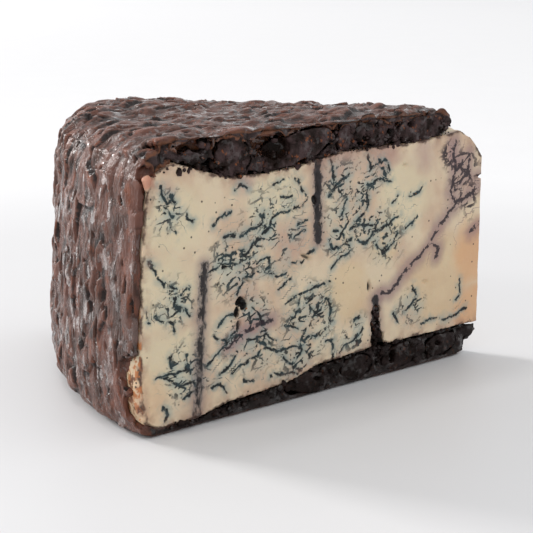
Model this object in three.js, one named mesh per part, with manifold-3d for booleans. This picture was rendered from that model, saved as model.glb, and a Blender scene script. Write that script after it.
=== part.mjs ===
// A wedge of blue cheese cut from a small wheel, in millimetres, +Z up.
//
// The paste is one solid. A dark crust of pressed dried fruit wraps the wheel's top, rim and
// underside, and both cuts slice through whole fruits that sit in that crust.
// While the wedge is made, the wheel's axis is the world's Z axis: the front cut runs along -X from
// the sharp tip on the axis, and the back cut is turned from it by the wedge's angle. At the end the
// wedge is moved so that the origin is at the centre of its footprint.
import * as THREE from "three";
import { mergeVertices } from "three/addons/utils/BufferGeometryUtils.js";
import Module from "manifold-3d";

// Driving dimensions.
const WHEEL_RADIUS = 139.7; // over the crust, at the fullest part of the rim
const WHEEL_HEIGHT = 82;
const WEDGE_ANGLE = THREE.MathUtils.degToRad(52); // a seventh of the wheel
const RIM_CRUST = 2.3; // the crust's thickness round the rim
const TOP_CRUST_START = 14.5; // the top crust is torn away this close to the tip
const GAP = 0.3; // clearance between two pieces that touch

// How finely round things are faceted.
const WHEEL_SEGMENTS = 112;
const FRUIT_COLUMNS = 14;
const FRUIT_ROWS = 9;
const CHANNEL_SIDES = 10;

const PASTE_RADIUS = WHEEL_RADIUS - RIM_CRUST;

const wasm = await Module();
wasm.setup();

// Outline of the paste as [radius, height], from the bottom of the tip round to its top. The rim
// leans in towards the top, and the crust's heavy fruits have pressed a dip into the shoulder.
const PASTE_OUTLINE = [
  [0, 10.2],
  [20, 10.4],
  [48, 10.2],
  [72, 9],
  [84, 6],
  [107, 4.6],
  [118, 2.4],
  [PASTE_RADIUS - 5.5, 2.2],
  [PASTE_RADIUS - 1.4, 4.6],
  [PASTE_RADIUS, 10],
  [PASTE_RADIUS, 26],
  [PASTE_RADIUS - 1.1, 48],
  [PASTE_RADIUS - 2.3, 62],
  [PASTE_RADIUS - 3.6, 69.5],
  [PASTE_RADIUS - 7, 74.2],
  [PASTE_RADIUS - 12.5, 75.6],
  [118, 73.4],
  [106, 69.8],
  [92, 69.6],
  [80, 70.6],
  [62, 73],
  [34, 73],
  [16, 74.4],
  [11, 75.2],
  [6, 72.4],
  [0, 66],
];

// Outline of the wheel over its crust. Near the axis it drops under the paste's top, which leaves
// the tip bare, and it lifts off the table at the tip's lower corner.
const WHEEL_OUTLINE = [
  [0, 8],
  [2.5, 5],
  [6, 1.2],
  [10, 0],
  [WHEEL_RADIUS - 6.5, 0],
  [WHEEL_RADIUS - 2.6, 1.5],
  [WHEEL_RADIUS - 0.7, 5],
  [WHEEL_RADIUS, 12],
  [WHEEL_RADIUS, 26],
  [WHEEL_RADIUS - 1.1, 48],
  [WHEEL_RADIUS - 2.3, 62],
  [WHEEL_RADIUS - 3.1, 71.5],
  [WHEEL_RADIUS - 5.4, 77.5],
  [WHEEL_RADIUS - 10, 81],
  [WHEEL_RADIUS - 17, WHEEL_HEIGHT],
  [TOP_CRUST_START + 5, WHEEL_HEIGHT],
  [TOP_CRUST_START + 1, 80],
  [TOP_CRUST_START, 76],
  [TOP_CRUST_START, 60],
  [0, 60],
];

// Cut fruits in the crust, as seen on a cut face: distance is the centre's distance from the tip,
// height is the centre's height, half is [half width, half height, depth behind the cut], and
// lean tilts the fruit within the cut.
const FRONT_FRUITS = [
  { name: "cut_fruit_round", distance: 104.5, height: 75.5, half: [6.4, 5.6, 8], lean: 10 },
  { name: "cut_fruit_wide", distance: 80, height: 75.6, half: [14, 4.6, 11], lean: -14 },
  { name: "cut_fruit_narrow", distance: 61.4, height: 77, half: [2.6, 4, 6], lean: 22 },
  { name: "cut_fruit_folded", distance: 49, height: 77.6, half: [8.2, 3.8, 9], lean: 4 },
  { name: "cut_fruit_end", distance: 28.6, height: 77.4, half: [10.4, 3.9, 8], lean: -3 },
  { name: "base_fruit_outer", distance: 75.6, height: 4, half: [8.6, 3.4, 8], lean: 8 },
  { name: "base_fruit_middle", distance: 55.6, height: 5.2, half: [6.6, 3.9, 7], lean: 0 },
  { name: "base_fruit_split", distance: 36.6, height: 5, half: [8, 4, 9], lean: -4 },
  { name: "base_fruit_inner", distance: 17, height: 5.4, half: [7.6, 3.8, 6], lean: -6 },
];
const BACK_FRUITS = [
  { name: "back_fruit_shoulder", distance: 116, height: 78.2, half: [6.4, 2.8, 7], lean: 6 },
  { name: "back_fruit_long", distance: 95, height: 76, half: [10.6, 4.4, 9], lean: 8 },
  { name: "back_fruit_round", distance: 73, height: 77, half: [7, 4.2, 8], lean: -8 },
  { name: "back_fruit_flat", distance: 50, height: 77.6, half: [10.8, 3.7, 9], lean: 3 },
  { name: "back_fruit_end", distance: 30, height: 77.4, half: [6.8, 3.9, 6], lean: 0 },
  { name: "back_base_outer", distance: 66, height: 4.8, half: [9.6, 3.6, 8], lean: 4 },
  { name: "back_base_inner", distance: 36, height: 5.2, half: [9, 3.9, 7], lean: -3 },
];

// Needle channels that a cut face runs through, and the largest open pockets on it.
const FRONT_CHANNELS = [
  { distance: 116, low: 4.5, high: 52, radius: 0.9 },
  { distance: 72.6, low: 47, high: 69, radius: 1.2 },
  { distance: 47.4, low: 11.5, high: 26, radius: 1.9 },
];
const FRONT_POCKETS = [
  { distance: 101.5, height: 31, radius: 2.8 },
  { distance: 107.5, height: 43.7, radius: 1.5 },
];
const BACK_CHANNELS = [
  { distance: 96, low: 14, high: 58, radius: 1 },
  { distance: 54, low: 30, high: 66, radius: 1.3 },
];
const BACK_POCKETS = [{ distance: 78, height: 40, radius: 2.4 }];

// A closed three.js geometry as a manifold-3d solid.
function solidOf(geometry) {
  const bare = geometry.clone();
  bare.deleteAttribute("normal");
  bare.deleteAttribute("uv");
  const merged = mergeVertices(bare, 1e-4);
  const corners = merged.index.array;
  const kept = [];
  for (let i = 0; i < corners.length; i += 3) {
    const [a, b, c] = corners.subarray(i, i + 3);
    if (a !== b && b !== c && c !== a) kept.push(a, b, c);
  }
  const mesh = new wasm.Mesh({
    numProp: 3,
    vertProperties: new Float32Array(merged.attributes.position.array),
    triVerts: new Uint32Array(kept),
  });
  return new wasm.Manifold(mesh);
}

// A manifold-3d solid as a three.js geometry.
function geometryOf(solid) {
  const mesh = solid.getMesh();
  const position = new THREE.BufferAttribute(mesh.vertProperties, mesh.numProp);
  const geometry = new THREE.BufferGeometry().setAttribute("position", position);
  geometry.setIndex(new THREE.BufferAttribute(mesh.triVerts, 1));
  return geometry;
}

// An outline moved outwards along its normals, with its ends kept on the axis.
function grown(outline, by) {
  const last = outline.length - 1;
  return outline.map(([radius, height], i) => {
    const [r0, h0] = outline[Math.max(i - 1, 0)];
    const [r1, h1] = outline[Math.min(i + 1, last)];
    const along = new THREE.Vector2(r1 - r0, h1 - h0).normalize();
    const onAxis = i === 0 || i === last;
    return [onAxis ? 0 : radius + along.y * by, height - along.x * by];
  });
}

// The whole round body that an outline makes when it is turned about the wheel's axis.
function wheelOf(outline) {
  const profile = outline.map(([radius, height]) => new THREE.Vector2(radius, height));
  const geometry = new THREE.LatheGeometry(profile, WHEEL_SEGMENTS);
  geometry.rotateX(Math.PI / 2);
  return solidOf(geometry);
}

// The space between the two cuts, taller and longer than the wheel.
function sliceSpace() {
  const reach = 2 * WHEEL_RADIUS;
  const shape = new THREE.Shape();
  shape.moveTo(0, 0);
  shape.lineTo(-reach * Math.cos(WEDGE_ANGLE), reach * Math.sin(WEDGE_ANGLE));
  shape.lineTo(-reach, 0);
  shape.closePath();
  const geometry = new THREE.ExtrudeGeometry(shape, { depth: 2 * WHEEL_HEIGHT, bevelEnabled: false });
  geometry.translate(0, 0, -WHEEL_HEIGHT / 2);
  return solidOf(geometry);
}

// Puts a geometry that is centred on the origin at a distance from the tip and a height, on the
// front cut or on the back one.
function placeOnCut(geometry, distance, height, onBack) {
  geometry.translate(-distance, 0, height);
  if (onBack) geometry.rotateZ(-WEDGE_ANGLE);
  return geometry;
}

// A fruit's whole ellipsoid, made larger all round by a clearance.
function fruitBody({ distance, height, half, lean }, clearance, onBack) {
  const [halfWidth, halfHeight, depth] = half;
  const geometry = new THREE.SphereGeometry(1, FRUIT_COLUMNS, FRUIT_ROWS);
  geometry.scale(halfWidth + clearance, depth + clearance, halfHeight + clearance);
  geometry.rotateY(THREE.MathUtils.degToRad(lean));
  return solidOf(placeOnCut(geometry, distance, height, onBack));
}

// The groove that a cut leaves of an upright needle channel.
function channelBody({ distance, low, high, radius }, onBack) {
  const geometry = new THREE.CylinderGeometry(radius, radius, high - low, CHANNEL_SIDES);
  geometry.rotateX(Math.PI / 2);
  return solidOf(placeOnCut(geometry, distance, (low + high) / 2, onBack));
}

function pocketBody({ distance, height, radius }, onBack) {
  const geometry = new THREE.SphereGeometry(radius, CHANNEL_SIDES, CHANNEL_SIDES / 2 + 1);
  return solidOf(placeOnCut(geometry, distance, height, onBack));
}

const slice = sliceSpace();
const fruits = [
  ...FRONT_FRUITS.map((fruit) => ({ fruit, onBack: false })),
  ...BACK_FRUITS.map((fruit) => ({ fruit, onBack: true })),
];
const fruitPockets = wasm.Manifold.union(
  fruits.map(({ fruit, onBack }) => fruitBody(fruit, GAP, onBack)),
);

// The paste: the turned body between the cuts, less the fruits that press into it, its needle
// channels and its open pockets.
function makePaste() {
  const openings = wasm.Manifold.union([
    fruitPockets,
    ...FRONT_CHANNELS.map((channel) => channelBody(channel, false)),
    ...FRONT_POCKETS.map((pocket) => pocketBody(pocket, false)),
    ...BACK_CHANNELS.map((channel) => channelBody(channel, true)),
    ...BACK_POCKETS.map((pocket) => pocketBody(pocket, true)),
  ]);
  return wheelOf(PASTE_OUTLINE).intersect(slice).subtract(openings);
}

// The crust: one skin over top, rim and underside, with a pocket round each cut fruit.
function makeCrust() {
  const overPaste = wheelOf(WHEEL_OUTLINE).subtract(wheelOf(grown(PASTE_OUTLINE, GAP)));
  return overPaste.intersect(slice).subtract(fruitPockets);
}

// A fruit, sliced by the cut and pressed flat where it meets the wheel's outside.
const wholeWheel = wheelOf(WHEEL_OUTLINE);
function makeFruit(fruit, onBack) {
  return fruitBody(fruit, 0, onBack).intersect(slice).intersect(wholeWheel);
}

const pasteFinish = new THREE.MeshStandardMaterial({ color: 0xdcc8a6, roughness: 0.5 });
const crustFinish = new THREE.MeshStandardMaterial({ color: 0x4a332c, roughness: 0.45 });
const fruitFinish = new THREE.MeshStandardMaterial({ color: 0x2f2a2c, roughness: 0.6 });

function named(name, solid, finish) {
  const mesh = new THREE.Mesh(geometryOf(solid), finish);
  mesh.name = name;
  return mesh;
}

const wedge = new THREE.Group();
wedge.add(named("cheese_paste", makePaste(), pasteFinish));
wedge.add(named("fruit_crust", makeCrust(), crustFinish));
for (const { fruit, onBack } of fruits) {
  wedge.add(named(fruit.name, makeFruit(fruit, onBack), fruitFinish));
}

const footprint = new THREE.Box3().setFromObject(wedge);
wedge.position.x = -(footprint.min.x + footprint.max.x) / 2;
wedge.position.y = -(footprint.min.y + footprint.max.y) / 2;

export default wedge;
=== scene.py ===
# %% [markdown]
# # A wedge of blue cheese in a dark fruit crust
# The real thing is a slice of a small round blue cheese. A paste the colour of cream, shot through
# with blue-green mould, is wrapped in a dark crust of pressed dried fruit. Two cuts, made from the
# middle of the wheel to its rim, show the inside of both.
#
# The CAD model gives the sizes. Everything here is in metres and in its frame: +Z is up, the sharp
# tip points along +X and the front cut faces -Y.

# %% The CAD frame
import math
import random
from functools import reduce

import bpy
import numpy as np
from mathutils import Matrix, Vector


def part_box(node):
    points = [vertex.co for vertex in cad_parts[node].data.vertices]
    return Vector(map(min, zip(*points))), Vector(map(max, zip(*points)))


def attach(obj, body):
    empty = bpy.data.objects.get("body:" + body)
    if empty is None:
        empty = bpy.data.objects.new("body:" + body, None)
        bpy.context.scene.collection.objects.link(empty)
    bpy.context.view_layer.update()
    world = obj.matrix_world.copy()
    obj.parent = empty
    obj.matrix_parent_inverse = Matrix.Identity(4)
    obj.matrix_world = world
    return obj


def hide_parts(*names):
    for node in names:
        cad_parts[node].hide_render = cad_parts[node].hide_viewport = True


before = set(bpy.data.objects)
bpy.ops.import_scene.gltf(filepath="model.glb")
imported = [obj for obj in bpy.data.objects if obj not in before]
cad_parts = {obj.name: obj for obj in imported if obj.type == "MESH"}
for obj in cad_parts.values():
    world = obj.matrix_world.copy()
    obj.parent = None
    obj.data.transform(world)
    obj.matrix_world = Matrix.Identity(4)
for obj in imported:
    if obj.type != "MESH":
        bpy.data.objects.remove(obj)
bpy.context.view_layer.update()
MM = 0.001

# %% [markdown]
# Three sizes rule the shape: the wheel's radius, its height and the angle between the two cuts. They
# are read off the CAD boxes. The wheel's axis passes through the sharp tip, so a place on a cut is
# given by its distance from the tip, its height, and how deep it lies behind the cut.

# %% The wheel and its two cuts
paste_low, paste_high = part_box("cheese_paste")
crust_low, crust_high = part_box("fruit_crust")
TIP = Vector((paste_high.x, paste_low.y, 0))
RADIUS = (TIP.x - crust_low.x) / MM
HEIGHT = crust_high.z / MM
ANGLE = math.asin((crust_high.y - TIP.y) / MM / RADIUS)

ALONG = {"front": Vector((-1, 0, 0)), "back": Vector((-math.cos(ANGLE), math.sin(ANGLE), 0))}
INWARD = {"front": Vector((0, 1, 0)), "back": Vector((-math.sin(ANGLE), -math.cos(ANGLE), 0))}


def on_cut(side, distance, height, depth=0.0):
    """A point in the frame, from millimetres along a cut, up it and behind it."""
    return TIP + (ALONG[side] * distance + INWARD[side] * depth + Vector((0, 0, height))) * MM


print(f"wheel radius {RADIUS:.1f} mm, height {HEIGHT:.1f} mm, cuts {math.degrees(ANGLE):.1f} deg apart")

# %% [markdown]
# Small helpers keep each later step short. Blender's operators act on whatever is selected, so every
# step first makes sure that only its own object is.

# %% Selecting, editing and applying
def alone(obj):
    """Only obj is selected, and it is the active object."""
    bpy.ops.object.select_all(action="DESELECT")
    obj.select_set(True)
    bpy.context.view_layer.objects.active = obj
    return obj


def edit(obj):
    """Edit mode on obj alone, with nothing selected in it."""
    alone(obj)
    bpy.ops.object.mode_set(mode="EDIT")
    bpy.ops.mesh.select_mode(type="VERT")
    bpy.ops.mesh.select_all(action="DESELECT")


def edit_done():
    bpy.ops.object.mode_set(mode="OBJECT")
    return bpy.context.object


def select_vertices(obj, chosen):
    """In edit mode, selects just the vertices that chosen(co) picks."""
    bpy.ops.mesh.select_all(action="DESELECT")
    bpy.ops.object.mode_set(mode="OBJECT")
    for vertex in obj.data.vertices:
        vertex.select = bool(chosen(vertex.co))
    bpy.ops.object.mode_set(mode="EDIT")


def use(obj, kind, **settings):
    """Adds a modifier to obj with these settings, and applies it."""
    alone(obj)
    modifier = obj.modifiers.new(kind.title(), kind)
    for name, value in settings.items():
        setattr(modifier, name, value)
    bpy.ops.object.modifier_apply(modifier=modifier.name)


def drop(obj):
    """Removes a helper object and its mesh."""
    mesh = obj.data
    bpy.data.objects.remove(obj)
    bpy.data.meshes.remove(mesh)


def placed(obj, name):
    """The object's place goes into its mesh, so that it sits at the origin."""
    alone(obj)
    bpy.ops.object.transform_apply(location=True, rotation=True, scale=True)
    obj.name = obj.data.name = name
    return obj


def joined(parts, name):
    """Several objects as one."""
    alone(parts[0])
    for part in parts[1:]:
        part.select_set(True)
    if len(parts) > 1:
        bpy.ops.object.join()
    bpy.context.object.name = bpy.context.object.data.name = name
    return bpy.context.object


def line(name, points, closed=False):
    """A line drawn from corner to corner: a plane merged to one point, then extruded."""
    bpy.ops.object.select_all(action="DESELECT")
    bpy.ops.mesh.primitive_plane_add(size=MM, location=points[0])
    obj = bpy.context.object
    bpy.ops.object.mode_set(mode="EDIT")
    bpy.ops.mesh.select_all(action="SELECT")
    bpy.ops.mesh.merge(type="CENTER")
    for here, there in zip(points, points[1:]):
        bpy.ops.mesh.extrude_region_move(TRANSFORM_OT_translate={"value": there - here})
    bpy.ops.object.mode_set(mode="OBJECT")
    placed(obj, name)
    if closed:
        ends = (Vector(points[0]), Vector(points[-1]))
        edit(obj)
        select_vertices(obj, lambda co: any((co - end).length < MM / 100 for end in ends))
        bpy.ops.mesh.edge_face_add()
        edit_done()
    return obj

# %% [markdown]
# Both the paste and the crust are slices of a turned body. Their outline is drawn on the front cut,
# spun about the wheel's axis as far as the back cut, and closed with a face on each cut. A lathe
# shape could also come from a Screw modifier, but Spin leaves the two cuts flat and exact.

# %% A slice of a turned body
def on_plane(side):
    """Picks the points that lie on a cut."""
    return lambda co: abs((co - TIP).dot(INWARD[side])) < MM / 50


def turned_slice(name, outline, steps=48):
    """The body that a closed outline of (radius, height) sweeps from the front cut to the back."""
    obj = line(name, [on_cut("front", r, z) for r, z in outline], closed=True)
    edit(obj)
    bpy.ops.mesh.select_all(action="SELECT")
    bpy.ops.mesh.spin(steps=steps, angle=ANGLE, center=TIP, axis=(0, 0, 1))
    bpy.ops.mesh.select_all(action="SELECT")
    bpy.ops.mesh.remove_doubles(threshold=MM / 1000)
    for side in ("front", "back"):
        select_vertices(obj, on_plane(side))
        bpy.ops.mesh.edge_face_add()
    bpy.ops.mesh.select_all(action="SELECT")
    bpy.ops.mesh.normals_make_consistent(inside=False)
    return edit_done()

# %% [markdown]
# ## Nodes
# Relief and colour both come from nodes: Geometry Nodes push the surface in and out, and shader nodes
# colour it. Both kinds of tree share the noise, maths and mixing nodes, so one small writer serves
# both. It works in millimetres, which makes every size below one that a ruler would give.

# %% A writer of nodes
class Nodes:
    """Writes nodes into one tree. Inputs are plain values or other nodes' outputs."""

    def __init__(self, tree):
        self.tree = tree

    def put(self, kind, inputs=None, **settings):
        node = self.tree.nodes.new(kind)
        for name, value in settings.items():
            setattr(node, name, value)
        for key, value in (inputs or {}).items():
            if isinstance(value, bpy.types.NodeSocket):
                self.tree.links.new(value, node.inputs[key])
            else:
                node.inputs[key].default_value = value
        return node

    def math(self, operation, *values, clamp=False):
        node = self.put("ShaderNodeMath", dict(enumerate(values)), operation=operation, use_clamp=clamp)
        return node.outputs[0]

    def vector(self, operation, *values):
        node = self.put("ShaderNodeVectorMath", dict(enumerate(values)), operation=operation)
        gives_number = operation in ("LENGTH", "DOT_PRODUCT", "DISTANCE")
        return node.outputs["Value" if gives_number else "Vector"]

    def scaled(self, vector, scale):
        node = self.put("ShaderNodeVectorMath", {0: vector, "Scale": scale}, operation="SCALE")
        return node.outputs["Vector"]

    def fade(self, value, low, high, start=0.0, end=1.0):
        """Goes smoothly from start, where value is low, to end, where it is high."""
        inputs = {"Value": value, "From Min": low, "From Max": high, "To Min": start, "To Max": end}
        return self.put("ShaderNodeMapRange", inputs, interpolation_type="SMOOTHSTEP").outputs[0]

    def noise(self, vector, size, detail=2.0, rough=0.5, output="Fac"):
        """Noise from 0 to 1 whose lumps are about size millimetres across."""
        inputs = {"Vector": vector, "Scale": 1 / size, "Detail": detail, "Roughness": rough}
        return self.put("ShaderNodeTexNoise", inputs).outputs[output]

    def wander(self, vector, size, far):
        """The vector, led astray by up to about far millimetres."""
        astray = self.vector("SUBTRACT", self.noise(vector, size, output="Color"), (0.5, 0.5, 0.5))
        return self.vector("ADD", vector, self.scaled(astray, far * 2))

    def cells(self, vector, size, output="Distance", **settings):
        """Voronoi cells about size millimetres across."""
        inputs = {"Vector": vector, "Scale": 1 / size}
        return self.put("ShaderNodeTexVoronoi", inputs, **settings).outputs[output]

    def blend(self, factor, first, second):
        """A number that goes from first to second as factor goes from 0 to 1."""
        return self.put("ShaderNodeMix", {0: factor, 2: first, 3: second}).outputs[0]

    def fold(self, operation, values):
        """Several numbers worked into one, each with what the ones before it gave."""
        return reduce(lambda one, other: self.math(operation, one, other), values)

    def most(self, *values):
        """The largest of several numbers."""
        return self.fold("MAXIMUM", values)

    def product(self, *values):
        return self.fold("MULTIPLY", values)

    def total(self, *values):
        return self.fold("ADD", values)

    def ripple(self, vector, size, depth, detail=2.0, rough=0.5):
        """Noise about zero, as high and low as half the depth."""
        return self.product(self.less(self.noise(vector, size, detail, rough), 0.5), depth)

    def less(self, value, taken, clamp=False):
        return self.math("SUBTRACT", value, taken, clamp=clamp)

    def length(self, vector):
        return self.vector("LENGTH", vector)

    def apart(self, place, other):
        return self.vector("DISTANCE", place, other)

    def stretched(self, vector, *factors):
        """The vector with each of its three parts multiplied."""
        return self.vector("MULTIPLY", vector, factors)

    def split(self, vector):
        return self.put("ShaderNodeSeparateXYZ", {0: vector}).outputs

    def build(self, *parts):
        """A vector from up to three numbers."""
        return self.put("ShaderNodeCombineXYZ", dict(enumerate(parts))).outputs[0]

    def mix(self, factor, first, second):
        """A colour that goes from first to second as factor goes from 0 to 1."""
        ends = [end if isinstance(end, bpy.types.NodeSocket) else (*end, 1) for end in (first, second)]
        inputs = {0: factor, 6: ends[0], 7: ends[1]}
        return self.put("ShaderNodeMix", inputs, data_type="RGBA").outputs[2]


# %% [markdown]
# Relief is a Geometry Nodes modifier that moves each point along its normal by a height that nodes
# work out from the point's place. It also stores masks and measures on the mesh, such as where the
# creases are and how far off a vein is, so that the material can follow them exactly.

# %% A relief modifier
class Relief(Nodes):
    def __init__(self, obj):
        super().__init__(bpy.data.node_groups.new(obj.name + "_relief", "GeometryNodeTree"))
        self.obj = obj
        self.tree.interface.new_socket("Geometry", in_out="INPUT", socket_type="NodeSocketGeometry")
        self.tree.interface.new_socket("Geometry", in_out="OUTPUT", socket_type="NodeSocketGeometry")
        self.shape = self.put("NodeGroupInput").outputs[0]
        self.place = self.put("GeometryNodeInputPosition").outputs[0]
        self.normal = self.put("GeometryNodeInputNormal").outputs[0]
        self.mm = self.scaled(self.place, 1 / MM)

    def behind(self, side):
        """How many millimetres a point lies behind a cut."""
        from_tip = self.vector("SUBTRACT", self.place, tuple(TIP))
        return self.product(self.vector("DOT_PRODUCT", from_tip, tuple(INWARD[side])), 1 / MM)

    def facing(self, side):
        """1 where the surface is that cut itself, and 0 elsewhere."""
        outwards = self.vector("DOT_PRODUCT", self.normal, tuple(-INWARD[side]))
        near = self.fade(self.behind(side), 1.6, 0.8)
        return self.product(self.fade(outwards, 0.5, 0.8), near)

    def keep(self, name, value, kind="FLOAT"):
        """Stores a value on every point, for the material to read."""
        inputs = {"Geometry": self.shape, "Name": name, "Value": value}
        self.shape = self.put("GeometryNodeStoreNamedAttribute", inputs, data_type=kind).outputs[0]

    def raise_by(self, height):
        """Moves the points by height millimetres along their normals."""
        inputs = {"Geometry": self.shape, "Offset": self.scaled(self.scaled(self.normal, MM), height)}
        self.shape = self.put("GeometryNodeSetPosition", inputs).outputs[0]

    def finish(self):
        self.put("NodeGroupOutput", {0: self.shape})
        use(self.obj, "NODES", node_group=self.tree)
        bpy.data.node_groups.remove(self.tree)


# %% [markdown]
# ## The paste
# The paste is one soft solid. Its outline leans in towards the top of the rim, is dented where heavy
# fruits press on it, and stays bare at the tip, where the crust has come away.

# %% The paste's slice
CRUST_THICKNESS = 2.3
PASTE_RADIUS = RADIUS - CRUST_THICKNESS
PASTE_OUTLINE = [
    (0, 10.2), (20, 10.4), (48, 10.2), (72, 9), (84, 6), (107, 4.6), (118, 2.4),
    (PASTE_RADIUS - 5.5, 2.2), (PASTE_RADIUS - 1.4, 4.6), (PASTE_RADIUS, 10), (PASTE_RADIUS, 26),
    (PASTE_RADIUS - 1.1, 48), (PASTE_RADIUS - 2.3, 62), (PASTE_RADIUS - 3.6, 69.5),
    (PASTE_RADIUS - 7, 74.2), (PASTE_RADIUS - 12.5, 75.6), (118, 73.4), (106, 69.8), (92, 69.6),
    (80, 70.6), (62, 73), (34, 73), (16, 74.4), (11, 75.2), (6, 72.4), (0, 66),
]
cheese = turned_slice("cheese", PASTE_OUTLINE)

# %% [markdown]
# Needle channels let air into the cheese so that the mould can grow, and the cuts run along some of
# them. They and the open pockets are real holes: rough cones and pebbles are sunk into the cuts and
# taken away with a Boolean. Roughening the cutter first is what makes the hole's walls crumbly.

# %% Rough cutters for channels and pockets
def roughened(obj, size, depth):
    """Crumples a closed shape with lumps of that size and depth in millimetres."""
    texture = bpy.data.textures.new(obj.name + "_lumps", "CLOUDS")
    texture.noise_scale = size * MM
    use(obj, "DISPLACE", texture=texture, strength=depth * MM, texture_coords="GLOBAL")
    bpy.data.textures.remove(texture)
    return obj


def channel(side, foot, head, radius_low, radius_high):
    """A needle channel along a cut, from a (distance, height) at its foot to one at its head."""
    low, high = on_cut(side, *foot), on_cut(side, *head)
    bpy.ops.mesh.primitive_cone_add(
        vertices=14, radius1=radius_low * MM, radius2=radius_high * MM, depth=(high - low).length,
        location=(low + high) / 2, rotation=(high - low).to_track_quat("Z", "Y").to_euler(),
    )
    obj = placed(bpy.context.object, "channel")
    edit(obj)
    bpy.ops.mesh.select_all(action="SELECT")
    bpy.ops.mesh.subdivide(number_cuts=9)
    edit_done()
    widest = max(radius_low, radius_high)
    return roughened(roughened(obj, 3.4, widest * 1.5), 1.3, widest * 0.9)


def pebble(side, distance, height, half, lean=0.0, crumple=0.0, detail=3):
    """An ellipsoid centred on a cut, with half sizes along it, up it and into it."""
    bpy.ops.mesh.primitive_ico_sphere_add(subdivisions=detail, radius=MM)
    obj = bpy.context.object
    bpy.ops.transform.resize(value=(half[0], half[2], half[1]))
    bpy.ops.object.transform_apply(location=False, rotation=False, scale=True)
    turn = 0 if side == "front" else -ANGLE
    obj.matrix_world = (
        Matrix.Translation(on_cut(side, distance, height))
        @ Matrix.Rotation(turn, 4, "Z")
        @ Matrix.Rotation(math.radians(lean), 4, "Y")
    )
    placed(obj, "pebble")
    return roughened(obj, max(half) * 0.8, crumple) if crumple else obj


def pebbles(rows_by_side, share):
    """Pebbles from rows listed by side, each crumpled by a share of its smallest half size."""
    sides = [(side, row) for side, rows in rows_by_side.items() for row in rows]
    return [pebble(side, *row, crumple=min(row[2]) * share) for side, row in sides]


def cut_out(obj, cutters):
    """Takes the cutters' space away from obj."""
    cutter = joined(cutters, "cutter")
    use(obj, "BOOLEAN", object=cutter, operation="DIFFERENCE", solver="EXACT", use_self=True)
    drop(cutter)


# %% The holes in the paste
CHANNELS = [
    ("front", (118.3, 3), (115.2, 46), 0.8, 0.4),
    ("front", (72.4, 48), (73, 71), 0.5, 1.0),
    ("front", (46.6, 6), (48, 25.5), 3.4, 1.3),
    ("back", (97, 12), (95, 60), 1.1, 0.8),
    ("back", (54.6, 26), (53.6, 74), 0.9, 1.4),
    ("back", (120, 20), (119, 46), 0.8, 0.6),
]
POCKETS = {
    "front": [
        (101.5, 32.9, (2.5, 1.9, 3.6), 34), (100.4, 31.6, (2.1, 1.5, 3.4), -20),
        (103.2, 30.8, (1.1, 1.9, 2.6), 10), (102.9, 27, (0.9, 1.9, 1.8), 10),
        (107.6, 44.4, (1.7, 0.8, 1.6), 8), (99.4, 39.4, (3.6, 0.6, 1.4), 28),
        (77.4, 43.2, (3.3, 0.7, 1.3), 26), (50.8, 30.2, (0.9, 2.3, 1.8), -12),
        (2.2, 59.3, (2.1, 0.8, 1.2), 6), (53.6, 60.6, (1.3, 0.8, 1.2), 12),
        (118.8, 35.4, (1.1, 0.6, 1.0), 40), (25.4, 27.6, (1.6, 0.9, 1.0), 20),
        (36, 66.4, (1.6, 0.7, 0.9), 10), (72.0, 68.4, (1.3, 1.0, 1.8), 20),
        (73.6, 59.6, (1.4, 2.0, 1.8), -24), (72.2, 52.6, (1.2, 1.5, 1.6), 30),
        (9.2, 57.2, (1.5, 0.6, 0.9), 30),
    ],
    "back": [
        (78, 41, (2.6, 1.7, 3.0), 14), (104, 52, (3.2, 0.7, 1.5), 24), (36, 38, (1.2, 2.2, 1.8), -16),
        (63, 22, (2.8, 0.8, 1.6), 18), (24, 60, (1.5, 0.8, 1.2), 10),
    ],
}
holes = [channel(*shape) for shape in CHANNELS]
holes += pebbles(POCKETS, 0.9)
cut_out(cheese, holes)
drop_of_fat = pebble("front", RADIUS - 5.5, 71.0, (1.1, 2.4, 0.8), 6, crumple=1.1)
cheese = joined([cheese, drop_of_fat], "cheese")

# %% [markdown]
# A voxel remesh turns the slice and its holes into one even skin of small squares, fine enough to
# hold the paste's texture. Where the crust covers the paste nobody sees it, so there the squares are
# melted into a few big triangles.

# %% Even skin, coarse where it is hidden
def coordinates(obj):
    """Every vertex's place, in millimetres, as one array."""
    flat = np.zeros(len(obj.data.vertices) * 3, np.float32)
    obj.data.vertices.foreach_get("co", flat)
    return flat.reshape(-1, 3) / MM


PASTE_GRID, CRUST_GRID, FRUIT_GRID = 0.5, 0.62, 0.36  # sides of the remeshed squares, in mm


def wheel_places(points):
    """Each point's distance from the wheel's axis, height, and nearness to either cut."""
    from_tip = points - np.array(TIP) / MM
    radius = np.hypot(from_tip[:, 0], from_tip[:, 1])
    behind = [np.abs(from_tip @ np.array(INWARD[side])) for side in ("front", "back")]
    return radius, points[:, 2], np.minimum(*behind)


def melt(obj, hidden, keep_share):
    """Decimates only the hidden vertices, down to about a share of their faces."""
    group = obj.vertex_groups.new(name="hidden")
    group.add(np.flatnonzero(hidden).tolist(), 1.0, "REPLACE")
    share = hidden.mean()
    use(obj, "DECIMATE", vertex_group="hidden", ratio=1 - share * (1 - keep_share))
    obj.vertex_groups.clear()
    triangles = sum(len(face.vertices) - 2 for face in obj.data.polygons)
    print(f"{obj.name}: {triangles} triangles, {share:.0%} of the skin was hidden")


use(cheese, "REMESH", mode="VOXEL", voxel_size=PASTE_GRID * MM)
radius, height, near_cut = wheel_places(coordinates(cheese))
melt(cheese, (near_cut > 1.6) & (radius > 18), 0.03)

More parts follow.
